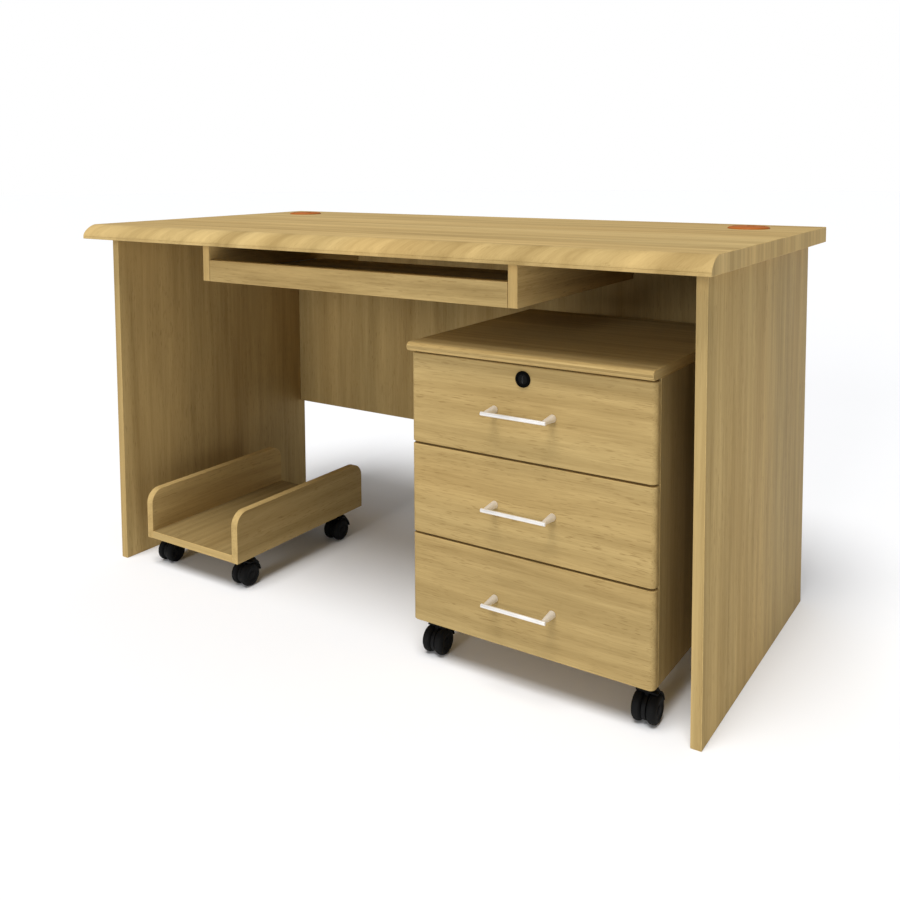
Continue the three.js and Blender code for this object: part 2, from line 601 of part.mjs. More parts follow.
// ---------------------------------------------------------------- the whole set
addDesktop(part);
addSidePanels(part);
addModestyPanel(part);
addGrommets(part);
addTrayHousing(part);
addTray(part);
addTrayRails(part);
addPedestal(part);
addTrolley(part);

export default part;
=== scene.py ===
"""Office desk with a keyboard tray, a drawer pedestal and a computer trolley, in light oak
laminate. Metres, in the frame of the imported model: +X right, +Y to the back, +Z up."""

import json
import math

import bmesh
import bpy
from mathutils import Matrix, Vector


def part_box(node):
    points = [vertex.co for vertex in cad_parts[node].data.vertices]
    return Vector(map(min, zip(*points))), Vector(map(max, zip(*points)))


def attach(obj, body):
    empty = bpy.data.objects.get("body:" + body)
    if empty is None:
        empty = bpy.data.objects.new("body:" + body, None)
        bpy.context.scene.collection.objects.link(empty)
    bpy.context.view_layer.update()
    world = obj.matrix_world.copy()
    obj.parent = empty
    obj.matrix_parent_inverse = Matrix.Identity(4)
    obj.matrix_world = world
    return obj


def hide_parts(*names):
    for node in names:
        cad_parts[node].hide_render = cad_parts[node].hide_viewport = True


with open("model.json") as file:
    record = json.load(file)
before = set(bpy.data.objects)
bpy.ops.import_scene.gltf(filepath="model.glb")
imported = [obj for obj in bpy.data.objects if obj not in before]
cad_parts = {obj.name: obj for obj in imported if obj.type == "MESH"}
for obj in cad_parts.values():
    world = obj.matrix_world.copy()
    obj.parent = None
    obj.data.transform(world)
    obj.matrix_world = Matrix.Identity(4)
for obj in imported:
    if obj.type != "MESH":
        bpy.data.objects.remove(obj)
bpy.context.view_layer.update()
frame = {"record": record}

MM = 0.001
SIDES = (("left", -1), ("right", 1))
BODY_OF = {node: body for body, nodes in frame["record"]["behaviour"]["bodies"].items()
           for node in nodes}

# ---------------------------------------------------------------- camera, light and floor
# Place in metres, angles in degrees, lens in mm and shift in image widths.
CAMERA_PLACE = (1.1334, -1.6642, 0.8901)
CAMERA_YAW = 33.39
CAMERA_PITCH = -4.24
CAMERA_ROLL = -0.29
CAMERA_LENS = 38.6
CAMERA_SHIFT_X = -0.0023
CAMERA_SHIFT_Y = -0.239

WORLD_STRENGTH = 0.30
# Each sun's strength, height above the floor, turn to the left of the user, and apparent width.
SUNS = {"key": (2.75, 70, -4, 30), "fill": (0.95, 14, 0, 16)}
FLOOR_SIZE = 60
FLOOR_COLOR = (0.88, 0.885, 0.90)
FLOOR_ROUGHNESS = 0.8
FLOOR_MOTTLE = 0.995  # brightness of its darker patches


def add_camera():
    data = bpy.data.cameras.new("camera")
    data.lens = CAMERA_LENS
    data.shift_x = CAMERA_SHIFT_X
    data.shift_y = CAMERA_SHIFT_Y
    camera = bpy.data.objects.new("camera", data)
    turn = Matrix.Rotation(math.radians(CAMERA_YAW), 4, "Z")
    tilt = Matrix.Rotation(math.radians(90 + CAMERA_PITCH), 4, "X")
    roll = Matrix.Rotation(math.radians(CAMERA_ROLL), 4, "Z")
    camera.matrix_world = Matrix.Translation(CAMERA_PLACE) @ turn @ tilt @ roll
    bpy.context.scene.collection.objects.link(camera)
    bpy.context.scene.camera = camera


def add_lights():
    world = bpy.data.worlds.new("studio")
    world.use_nodes = True
    background = world.node_tree.nodes["Background"]
    background.inputs["Color"].default_value = (1, 1, 1, 1)
    background.inputs["Strength"].default_value = WORLD_STRENGTH
    bpy.context.scene.world = world
    for name, (strength, elevation, turn, width) in SUNS.items():
        data = bpy.data.lights.new(name, "SUN")
        data.energy = strength
        data.angle = math.radians(width)
        sun = bpy.data.objects.new(name, data)
        swing = Matrix.Rotation(math.radians(-turn), 4, "Z")
        sun.matrix_world = swing @ Matrix.Rotation(math.radians(90 - elevation), 4, "X")
        bpy.context.scene.collection.objects.link(sun)
    bpy.context.scene.view_settings.view_transform = "Standard"


# ---------------------------------------------------------------- shader nodes
def add_node(tree, kind, inputs=None, **settings):
    """Adds a shader node. inputs maps a socket's name or number to a value or a socket."""
    node = tree.nodes.new(kind)
    for name, value in settings.items():
        setattr(node, name, value)
    for key, value in (inputs or {}).items():
        if isinstance(value, bpy.types.NodeSocket):
            tree.links.new(value, node.inputs[key])
        else:
            node.inputs[key].default_value = value
    return node


def new_material(name, metallic=0.0, specular=0.5, roughness=0.5):
    """A material, its node tree and its Principled shader with these constants on it."""
    material = bpy.data.materials.new(name)
    material.use_nodes = True
    tree = material.node_tree
    principled = tree.nodes["Principled BSDF"]
    principled.inputs["Metallic"].default_value = metallic
    principled.inputs["Specular IOR Level"].default_value = specular
    principled.inputs["Roughness"].default_value = roughness
    return material, tree, principled


def vector_math(tree, operation, first, second):
    return add_node(tree, "ShaderNodeVectorMath", {0: first, 1: second},
                    operation=operation).outputs[0]


NOISE_SPAN = (0.3, 0.7)  # most values of a noise lie between these


def noise(tree, vector, scale, detail=2, roughness=0.5):
    """A noise value. scale is per axis, in features per metre."""
    placed = vector_math(tree, "MULTIPLY", vector, scale)
    return add_node(tree, "ShaderNodeTexNoise", {
        "Vector": placed, "Scale": 1, "Detail": detail, "Roughness": roughness}).outputs[0]


def ramp(tree, value, low, high, to_low=0, to_high=1):
    """Stretches the values from low to high over to_low to to_high."""
    return add_node(tree, "ShaderNodeMapRange", {
        "Value": value, "From Min": low, "From Max": high, "To Min": to_low,
        "To Max": to_high}).outputs[0]


def mix(tree, factor, first, second, blend="MIX"):
    """Mixes two colours, which can be sockets or constants."""
    node = add_node(tree, "ShaderNodeMix", {0: factor, 6: first, 7: second},
                    data_type="RGBA", blend_type=blend)
    return node.outputs[2]


def math_node(tree, operation, first, second):
    return add_node(tree, "ShaderNodeMath", {0: first, 1: second},
                    operation=operation).outputs[0]


def rgba(color, scale=1):
    return tuple(channel * scale for channel in color) + (1,)


# ---------------------------------------------------------------- oak
OAK_LIGHT = (0.575, 0.415, 0.180)
OAK_DARK = (0.325, 0.220, 0.084)
OAK_PORE = (0.215, 0.130, 0.042)
OAK_WARM_TINT = (1.02, 0.995, 0.95, 1)
OAK_COOL_TINT = (0.99, 1.005, 1.01, 1)
OAK_SPECULAR = 0.03
OAK_ROUGHNESS = (0.46, 0.60)
OAK_RELIEF = 0.25
OAK_RELIEF_DEPTH = 0.12 * MM
SEED_STEP = (1.37, 0.731, 0.417)  # from one seed's piece of wood to the next one's
# Features to a metre along the grain, and both ways across it.
SWAY_SCALE = (1.6, 9, 9)
FIBRE_SCALE = (9, 560, 560)
TINT_SCALE = (1.2, 7, 7)
PORE_SCALE = (45, 520, 520)
CLUMP_SCALE = (4, 22, 22)
LINE_SCALE = 230
SWAY_REACH = 22 * MM
FIBRE_SHARE = 0.30
ARCH_STRETCH = (0.10, 1, 1)
ARCH_SCALE = 16
ARCH_DISTORTION = 4
ARCH_SHARE = 0.6
PORE_SPAN = (0.60, 0.70)  # noise values over which a pore fades in
PORE_DARKNESS = 0.42
CLUMP_SPAN = (0.36, 0.60)
CLUMP_LEAST = 0.25  # strength of the pores between clumps
# Turns that lay the grain along the texture's first axis. On the nose it slants up to the right.
GRAIN_TURN = {"x": (0, 0, 0), "y": (0, 0, -math.pi / 2), "z": (0, math.pi / 2, 0),
              "nose": (math.radians(50), math.radians(58), 0)}
made_oak = {}


def swayed(tree, vector):
    """Lets straight grain drift gently from side to side."""
    drift = vector_math(tree, "MULTIPLY", vector, SWAY_SCALE)
    sway = add_node(tree, "ShaderNodeTexNoise", {"Vector": drift, "Scale": 1, "Detail": 1})
    centred = vector_math(tree, "SUBTRACT", sway.outputs[1], (0.5, 0.5, 0.5))
    pushed = vector_math(tree, "MULTIPLY", centred, (0, SWAY_REACH, SWAY_REACH))
    return vector_math(tree, "ADD", vector, pushed)


def growth_rings(tree, wood):
    """The long arches where a board cuts through growth rings."""
    stretched = vector_math(tree, "MULTIPLY", wood, ARCH_STRETCH)
    return add_node(tree, "ShaderNodeTexWave", {
        "Vector": stretched, "Scale": ARCH_SCALE, "Distortion": ARCH_DISTORTION, "Detail": 2,
        "Detail Scale": 1.2}, wave_type="RINGS", rings_direction="SPHERICAL").outputs[1]


def pore_dashes(tree, wood, strength):
    """Short dark dashes along the grain, in clumps."""
    pores = noise(tree, wood, PORE_SCALE, 1, 0.5)
    clumps = noise(tree, wood, CLUMP_SCALE, 2, 0.5)
    dash = ramp(tree, pores, *PORE_SPAN, 0, PORE_DARKNESS * strength)
    return math_node(tree, "MULTIPLY", dash, ramp(tree, clumps, *CLUMP_SPAN, CLUMP_LEAST, 1))


def oak(grain, seed=0, bands=14, contrast=1.0, broad=0.9, narrow=0.5, lines=0.4, length=0.3,
        rings=0.2, dashes=1.0, tone=1.0):
    """Satin oak laminate whose fibres run along the grain axis.

    seed picks the piece of wood, and bands is how many broad tonal bands there are to a metre.
    broad, narrow, lines and rings are how strong the wide bands, narrow bands, fine lines and
    arched growth rings are, length how long the lines run, in metres, dashes how strong the
    dark pores are, and tone how bright it all is."""
    # tone also carries painted light and shade: some parts are painted darker as painted shade,
    # others lighter as painted light.
    key = (grain, seed, bands, contrast, broad, narrow, lines, length, rings, dashes, tone)
    if key in made_oak:
        return made_oak[key]
    name = f"oak_{grain}_{len(made_oak)}"
    material, tree, shader = new_material(name, specular=OAK_SPECULAR)
    place = add_node(tree, "ShaderNodeTexCoord").outputs["Object"]
    turned = add_node(tree, "ShaderNodeMapping", {
        "Vector": place, "Rotation": GRAIN_TURN[grain],
        "Location": tuple(seed * step for step in SEED_STEP)}).outputs[0]
    wood = swayed(tree, turned)
    arches = growth_rings(tree, wood)
    fibres = noise(tree, wood, FIBRE_SCALE, 2, 0.6)
    along = 1 / length
    layers = ((noise(tree, wood, (0.3 * along, bands, bands), 2, 0.55), broad),
              (noise(tree, wood, (0.6 * along, bands * 4, bands * 4), 3, 0.6), narrow),
              (noise(tree, wood, (1.6 * along, LINE_SCALE, LINE_SCALE), 3, 0.6), lines),
              (fibres, FIBRE_SHARE), (arches, rings * ARCH_SHARE))
    depth = 0.5  # halfway from the dark oak to the light oak
    for value, share in layers:
        swing = ramp(tree, value, 0, 1, -share * contrast, share * contrast)
        depth = math_node(tree, "ADD", swing, depth)
    color = mix(tree, depth, rgba(OAK_DARK, tone), rgba(OAK_LIGHT, tone))
    warm = ramp(tree, noise(tree, wood, TINT_SCALE, 1, 0.5), *NOISE_SPAN)
    tint = mix(tree, warm, OAK_WARM_TINT, OAK_COOL_TINT)
    color = mix(tree, 1, color, tint, "MULTIPLY")
    dash = pore_dashes(tree, wood, dashes)
    color = mix(tree, dash, color, rgba(OAK_PORE, tone))
    tree.links.new(color, shader.inputs["Base Color"])

    sheen = ramp(tree, fibres, 0.25, 0.75, *OAK_ROUGHNESS)
    tree.links.new(sheen, shader.inputs["Roughness"])
    height = math_node(tree, "SUBTRACT", fibres, dash)
    bump = add_node(tree, "ShaderNodeBump", {
        "Height": height, "Strength": OAK_RELIEF, "Distance": OAK_RELIEF_DEPTH}).outputs[0]
    tree.links.new(bump, shader.inputs["Normal"])
    made_oak[key] = material
    return material


def band(grain, tone=1.0):
    """Edge banding, plainer than the faces."""
    return oak(grain, seed=31, bands=40, contrast=0.6, rings=0, dashes=0.5, tone=tone)


def arris_oak():
    """The eased edge between a face and its banding, painted lighter as a painted highlight where
    it catches the light.
    """
    return oak("x", seed=43, bands=30, contrast=0.5, rings=0, dashes=0.2, tone=1.13)


# ---------------------------------------------------------------- other materials
DRIFT_SCALE = (22, 22, 22)
GRAIN_DEPTH = 0.05 * MM
ROUGHNESS_DROP = 0.05
ROUGHNESS_RISE = 0.07


def grained(name, color, roughness, variation=0.12, scale=900, bump=0.25, metallic=0.0,
            specular=0.5, stretch=(1, 1, 1), drift=0.08):
    """A moulded or drawn surface: fine grain in tone, roughness and relief, and slow drift."""
    material, tree, shader = new_material(name, metallic, specular)
    place = add_node(tree, "ShaderNodeTexCoord").outputs["Object"]
    grain = noise(tree, place, tuple(scale * s for s in stretch), 3, 0.6)
    slow = noise(tree, place, DRIFT_SCALE, 2, 0.5)
    shade = ramp(tree, grain, *NOISE_SPAN, 1 - variation, 1 + variation)
    blotch = ramp(tree, slow, *NOISE_SPAN, 1 - drift, 1 + drift)
    tint = mix(tree, 1, rgba(color), shade, "MULTIPLY")
    tint = mix(tree, 1, tint, blotch, "MULTIPLY")
    tree.links.new(tint, shader.inputs["Base Color"])
    gloss = ramp(tree, slow, *NOISE_SPAN, roughness - ROUGHNESS_DROP,
                 roughness + ROUGHNESS_RISE)
    tree.links.new(gloss, shader.inputs["Roughness"])
    relief = add_node(tree, "ShaderNodeBump", {
        "Height": grain, "Strength": bump, "Distance": GRAIN_DEPTH}).outputs[0]
    tree.links.new(relief, shader.inputs["Normal"])
    return material


STEEL = grained("zinc_plated_steel", (0.62, 0.63, 0.64), 0.34, variation=0.06, scale=500,
                bump=0.15, metallic=1.0, stretch=(1, 0.05, 1))
ALUMINIUM = grained("anodised_aluminium", (0.84, 0.82, 0.795), 0.34, variation=0.04,
                    scale=1500, bump=0.10, metallic=0.6, stretch=(0.03, 1, 1))
BLACK_PLASTIC = grained("moulded_black_plastic", (0.005, 0.005, 0.005), 0.55, variation=0.2,
                        scale=1100, bump=0.35, specular=0.12)
TREAD = grained("caster_tread", (0.006, 0.006, 0.006), 0.65, variation=0.2, bump=0.3,
                specular=0.1)
LOCK_BLACK = grained("lock_black", (0.002, 0.002, 0.002), 0.5, scale=1400, bump=0.2,
                     specular=0.02)
LOCK_PLUG = grained("lock_plug", (0.006, 0.006, 0.006), 0.45, scale=1400, bump=0.2,
                    specular=0.05)
KEYWAY = grained("keyway_steel", (0.160, 0.160, 0.165), 0.5, variation=0.1, scale=800,
                 bump=0.1, specular=0.3)
CAM_STEEL = grained("lock_cam_steel", (0.55, 0.55, 0.54), 0.38, variation=0.06, scale=700,
                    bump=0.2, metallic=1.0)
ORANGE = grained("grommet_plastic", (0.38, 0.105, 0.012), 0.5, variation=0.08, scale=1000,
                 specular=0.2)
BOX_BOARD = oak("x", seed=17, bands=18, contrast=0.4, rings=0.1, dashes=0.3, tone=1.05)


# ---------------------------------------------------------------- mesh helpers
ARRIS = 0.8 * MM
FINE_ARRIS = 0.3 * MM
MITRE_LEAST = 0.4
SMOOTH_ANGLE = 30


def inset(outline, distance):
    """Moves the corners of a closed outline inwards by a small distance.

    MITRE_LEAST keeps the corners of very sharp angles from moving too far."""
    moved = []
    count = len(outline)
    area = sum(outline[i][0] * outline[(i + 1) % count][1]
               - outline[(i + 1) % count][0] * outline[i][1] for i in range(count))
    side = 1 if area > 0 else -1
    for i in range(count):
        before = Vector(outline[i]) - Vector(outline[i - 1])
        after = Vector(outline[(i + 1) % count]) - Vector(outline[i])
        normal_a = Vector((-before.y, before.x)).normalized() * side
        normal_b = Vector((-after.y, after.x)).normalized() * side
        middle = (normal_a + normal_b).normalized()
        reach = distance / max(MITRE_LEAST, middle.dot(normal_a))
        moved.append(tuple(Vector(outline[i]) + middle * reach))
    return moved


def lifted(point, axis, along):
    """A 2-D outline point as a 3-D one. axis is the axis that the outline is drawn across."""
    a, b = point
    return {"x": (along, a, b), "y": (a, along, b), "z": (a, b, along)}[axis]


def loft(bm, rings):
    """Skins rings of equal length and closes the first and last one with a face."""
    loops = [[bm.verts.new(p) for p in ring] for ring in rings]
    count = len(loops[0])
    for lower, upper in zip(loops, loops[1:]):
        for i in range(count):
            j = (i + 1) % count
            bm.faces.new((lower[i], lower[j], upper[j], upper[i]))
    bm.faces.new(loops[0][::-1])
    bm.faces.new(loops[-1])


def prism(bm, outline, axis, start, end, arris=ARRIS):
    """Extrudes an outline along an axis, with its end edges eased."""
    small = inset(outline, arris)
    sections = ((small, start), (outline, start + arris), (outline, end - arris), (small, end))
    loft(bm, [[lifted(p, axis, along) for p in ring] for ring, along in sections])


def bar(bm, low, high, arris=ARRIS):
    """A box between two corners with all its edges eased."""
    outline = [(low[0], low[1]), (high[0], low[1]), (high[0], high[1]), (low[0], high[1])]
    rounded = rounded_corners(outline, arris)
    prism(bm, rounded, "z", low[2], high[2], arris)


def rounded_corners(outline, radius, steps=2):
    """Rounds the corners of a rectangle that is given anticlockwise from its lowest corner."""
    (x0, y0), (x1, y1) = outline[0], outline[2]
    centres = ((x0 + radius, y0 + radius, 180), (x1 - radius, y0 + radius, 270),
               (x1 - radius, y1 - radius, 0), (x0 + radius, y1 - radius, 90))
    return [point for cx, cy, start in centres
            for point in arc(cx, cy, radius, start, start + 90, steps)]


def arc(cx, cy, radius, start, end, steps):
    """Points on an arc, from start to end in degrees. radius can be a pair for an ellipse."""
    rx, ry = radius if isinstance(radius, tuple) else (radius, radius)
    points = []
    for i in range(steps + 1):
        angle = math.radians(start + (end - start) * i / steps)
        points.append((cx + rx * math.cos(angle), cy + ry * math.sin(angle)))
    return points


def revolve(bm, profile, axis, centre=(0, 0, 0), segments=48):
    """Turns a closed profile of (radius, height) pairs about an axis through centre."""
    rings = []
    for radius, height in profile:
        if radius == 0:
            rings.append([bm.verts.new(Vector(centre) + Vector(spun(0, 0, height, axis)))])
            continue
        angles = [2 * math.pi * i / segments for i in range(segments)]
        rings.append([bm.verts.new(Vector(centre) + Vector(
            spun(radius * math.cos(t), radius * math.sin(t), height, axis))) for t in angles])
    closed = profile[0][0] > 0
    pairs = list(zip(rings, rings[1:] + rings[:1])) if closed else list(zip(rings, rings[1:]))
    for lower, upper in pairs:
        for i in range(segments):
            j = (i + 1) % segments
            corners = [lower[i % len(lower)], lower[j % len(lower)],
                       upper[j % len(upper)], upper[i % len(upper)]]
            unique = [v for k, v in enumerate(corners) if v not in corners[:k]]
            if len(unique) > 2:
                bm.faces.new(unique)


def spun(a, b, height, axis):
    """A point of a turned piece, with its height along the axis."""
    return {"x": (height, a, b), "y": (b, height, a), "z": (a, b, height)}[axis]


def new_object(bm, name, materials, paint=None, smooth_angle=SMOOTH_ANGLE):
    """Turns a bmesh into an object. paint gives a face's material number."""
    bmesh.ops.recalc_face_normals(bm, faces=bm.faces)
    mesh = bpy.data.meshes.new(name)
    if paint:
        for face in bm.faces:
            face.material_index = paint(face)
    bm.to_mesh(mesh)
    bm.free()
    for material in materials:
        mesh.materials.append(material)
    mesh.polygons.foreach_set("use_smooth", [True] * len(mesh.polygons))
    mesh.set_sharp_from_angle(angle=math.radians(smooth_angle))
    obj = bpy.data.objects.new(name, mesh)
    bpy.context.scene.collection.objects.link(obj)
    return obj


def carve(target, cutters, operation="DIFFERENCE"):
    """Cuts the cutters out of the target, or joins them to it, and removes them."""
    for cutter in cutters:
        modifier = target.modifiers.new("carve", "BOOLEAN")
        modifier.operation = operation
        modifier.solver = "EXACT"
        modifier.object = cutter
    shape = target.evaluated_get(bpy.context.evaluated_depsgraph_get())
    mesh = bpy.data.meshes.new_from_object(shape)
    mesh.name = target.name
    target.modifiers.clear()
    target.data = mesh
    mesh.set_sharp_from_angle(angle=math.radians(SMOOTH_ANGLE))
    for cutter in cutters:
        bpy.data.objects.remove(cutter)
    return target


def stand_for(obj, *nodes):
    """The object rides on its CAD nodes' body, in their place."""
    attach(obj, BODY_OF[nodes[0]])
    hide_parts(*nodes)
    return obj


# ---------------------------------------------------------------- boards
# Painted light and shade: how bright a node's faces and its edges are painted, where that isn't 1.
# Below 1 is painted shade on parts in the desk's shadow, above 1 painted light.
FACE_PAINTED_LIGHT = {"desktop": 1.04, "left_side_panel": 0.92, "modesty_panel": 0.8,
              "pedestal_left_side": 0.54, "pedestal_right_side": 0.54, "pedestal_top": 0.84,
              "drawer_1_front": 0.94, "drawer_2_front": 0.92, "drawer_3_front": 0.85,
              "trolley_left_side": 1.14, "trolley_right_side": 0.78, "trolley_base": 0.62}
EDGE_PAINTED_LIGHT = {"desktop": 1.14, "left_side_panel": 0.88, "right_side_panel": 0.88,
              "left_housing_board": 1.18, "right_housing_board": 1.18, "pedestal_top": 1.04}
UPRIGHT = dict(bands=20, contrast=0.7, narrow=0.6, lines=0.25, length=0.2, rings=0)
# The order of a board's materials: its face, banding along X, Y and Z, and the eased edges.
FACE, BAND_X, BAND_Y, BAND_Z, EASED = range(5)
SQUARE = 0.98  # a face is square to an axis if its normal has more than this along it


def board_materials(node, grain, seed, **look):
    # The face and the banding are painted lighter or darker by the node's entries in the two
    # tables above: painted light and shade.
    face = oak(grain, seed, tone=FACE_PAINTED_LIGHT.get(node, 1.0), **look)
    edge_painted_light = EDGE_PAINTED_LIGHT.get(node, 1.0)
    return [face, *[band(axis, edge_painted_light) for axis in "xyz"], arris_oak()]


def board_paint(thin):
    """Numbers the faces of a board that is thin along one axis."""
    def paint(face):
        axis = max(range(3), key=lambda a: abs(face.normal[a]))
        if abs(face.normal[axis]) < SQUARE:
            return EASED
        if axis == thin:
            return FACE
        along = 3 - axis - thin
        return (BAND_X, BAND_Y, BAND_Z)[along]
    return paint


def add_board(node, grain, seed, **look):
    low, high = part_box(node)
    size = high - low
    thin = min(range(3), key=lambda a: size[a])
    bm = bmesh.new()
    bar(bm, low, high)
    materials = board_materials(node, grain, seed, **look)
    stand_for(new_object(bm, f"{node}_panel", materials, board_paint(thin)), node)


def add_boards():
    for side, seed in (("left", 3), ("right", 5)):
        add_board(f"{side}_side_panel", "z", seed, **UPRIGHT)
        add_board(f"{side}_housing_board", "y", seed + 20)
        add_board(f"pedestal_{side}_side", "z", seed + 30, **UPRIGHT)
    add_board("modesty_panel", "z", 8, **UPRIGHT)
    add_board("keyboard_tray_board", "x", 11, bands=20)
    add_board("keyboard_tray_fascia", "x", 12, bands=30, contrast=0.7, length=0.08)
    add_board("pedestal_back", "z", 38, **UPRIGHT)
    add_board("pedestal_base", "x", 39)


# ---------------------------------------------------------------- desktop
TOP_LIP = 6 * MM
TOP_NOSE = 32 * MM
NOSE_FULLNESS = 1.6  # 1 is a straight slope and 2 is a quarter of an ellipse
NOSE_STEPS = 24
LIP_GROOVE = 0.5 * MM
# The order of its materials, with FACE first and EASED last.
NOSE, END, REAR = 1, 2, 3
LEVEL = 0.999  # least height of the normal of the top and the underside
REARWARD = 0.9
SLIGHT = 0.02


def desktop_paint(polygon):
    """The nose bends down from the level top, so the least slope already belongs to it."""
    normal = polygon.normal
    if abs(normal.x) > SQUARE:
        return END
    if abs(normal.z) > LEVEL:
        return FACE
    if normal.y > REARWARD:
        return REAR
    if normal.y < -SLIGHT and abs(normal.x) < SLIGHT:
        return NOSE
    return EASED


def add_desktop():
    low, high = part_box("desktop")
    lip = low.z + TOP_LIP
    nose = []
    for step in range(NOSE_STEPS + 1):
        turn = math.pi / 2 * step / NOSE_STEPS
        back = TOP_NOSE * (1 - math.sin(turn) ** (2 / NOSE_FULLNESS))
        rise = (high.z - lip) * max(0, math.cos(turn)) ** (2 / NOSE_FULLNESS)
        nose.append((low.y + back, lip + rise))
    outline = [(high.y - ARRIS, low.z), (high.y, low.z + ARRIS), (high.y, high.z - ARRIS),
               (high.y - ARRIS, high.z), *nose,
               (low.y + LIP_GROOVE, lip - LIP_GROOVE), (low.y, lip - 2 * LIP_GROOVE),
               (low.y, low.z + ARRIS), (low.y + ARRIS, low.z)]
    bm = bmesh.new()
    prism(bm, outline, "x", low.x, high.x)
    # The top, the nose and the ends are painted lighter as painted light.
    tone = FACE_PAINTED_LIGHT["desktop"]
    desktop = new_object(bm, "desktop_panel", [
        oak("x", 1, bands=26, contrast=0.9, rings=0.1, dashes=0.7, tone=tone),
        oak("nose", 2, bands=17, contrast=0.62, broad=1.3, lines=0.2, rings=0, dashes=0.6,
            tone=tone),
        oak("z", 7, bands=26, contrast=0.9, lines=0.25, rings=0, dashes=0.5,
            tone=EDGE_PAINTED_LIGHT["desktop"]),
        band("x"), arris_oak()])
    cutters = []
    for side, _ in SIDES:
        seat_low, seat_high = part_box(f"{side}_cable_grommet")
        centre = (seat_low + seat_high) / 2
        flange = (seat_high.x - seat_low.x) / 2 + GROMMET_FIT
        hole = GROMMET_BARREL_RADIUS + GROMMET_FIT
        tool = bmesh.new()
        floor = high.z - GROMMET_RECESS
        revolve(tool, [(0, low.z - MM), (hole, low.z - MM), (hole, floor), (flange, floor),
                       (flange, high.z + MM), (0, high.z + MM)], "z",
                (centre.x, centre.y, 0), segments=64)
        cutters.append(new_object(tool, f"{side}_hole_tool", []))
    carve(desktop, cutters)
    for polygon in desktop.data.polygons:
        polygon.material_index = desktop_paint(polygon)
    stand_for(desktop, "desktop")


# ---------------------------------------------------------------- cable grommets
GROMMET_BARREL_RADIUS = 34.5 * MM
GROMMET_WALL = 2.5 * MM
GROMMET_FIT = 0.5 * MM
GROMMET_RECESS = 0.5 * MM
GROMMET_CAP_RADIUS = 30 * MM
GROMMET_CAP_GAP = 0.6 * MM
GROMMET_CAP_DEPTH = 0.4 * MM  # below the flange's highest ring
GROMMET_CAP_CHAMFER = (1.5 * MM, 0.4 * MM)  # wide, deep
GROMMET_GROOVE_DEPTH = 1.6 * MM
GROMMET_GROOVE_EASE = 0.2 * MM
GROMMET_RIM = 0.8 * MM  # outer edge of the flange above the desktop
GROMMET_SLOPE = 9 * MM  # width of the flange's rounded slope
CABLE_SLOT = (-8 * MM, 8 * MM, 8 * MM, 30 * MM)  # x and y ranges from the middle
CABLE_SLOT_RADIUS = 3 * MM


def add_grommets():
    top_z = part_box("desktop")[1].z
    for side, _ in SIDES:
        node = f"{side}_cable_grommet"
        low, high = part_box(node)
        cx, cy = (low.x + high.x) / 2, (low.y + high.y) / 2
        flange = (high.x - low.x) / 2
        seat = top_z - GROMMET_RECESS
        rise = high.z - top_z
        inner = GROMMET_BARREL_RADIUS - GROMMET_WALL
        cap = GROMMET_CAP_RADIUS
        slope = arc(flange - GROMMET_SLOPE, top_z + GROMMET_RIM,
                    (GROMMET_SLOPE, rise - GROMMET_RIM), 90, 0, steps=8)
        cap_z = high.z - GROMMET_CAP_DEPTH
        chamfer, drop = GROMMET_CAP_CHAMFER
        groove = high.z - GROMMET_GROOVE_DEPTH
        bm = bmesh.new()
        profile = [(0, cap_z), (cap - chamfer, cap_z), (cap, cap_z - drop), (cap, groove),
                   (cap + GROMMET_CAP_GAP, groove),
                   (cap + GROMMET_CAP_GAP, high.z - GROMMET_GROOVE_EASE),
                   *slope, (flange, seat), (GROMMET_BARREL_RADIUS, seat),
                   (GROMMET_BARREL_RADIUS, low.z), (inner, low.z), (inner, seat), (0, seat)]
        revolve(bm, profile, "z", (cx, cy, 0), segments=64)
        grommet = new_object(bm, f"{node}_moulding", [ORANGE])
        x0, x1, y0, y1 = CABLE_SLOT
        tool = bmesh.new()
        corners = [(cx + x0, cy + y0), (cx + x1, cy + y0), (cx + x1, cy + y1), (cx + x0, cy + y1)]
        slot = rounded_corners(corners, CABLE_SLOT_RADIUS, steps=6)
        prism(tool, slot, "z", seat - 3 * MM, high.z + 3 * MM)
        carve(grommet, [new_object(tool, f"{side}_slot_tool", [])])
        stand_for(grommet, node)


# ---------------------------------------------------------------- rails
RAIL_SHEET = 1.2 * MM
RAIL_ARRIS = 0.2 * MM
RAIL_HEM = 4 * RAIL_SHEET
RAIL_HEM_SHARE = 0.3  # the most of a low rail's height that a hem takes
SCREW_RADIUS = 3.2 * MM
SCREW_PLACES = (0.12, 0.5, 0.88)  # shares of the rail's length


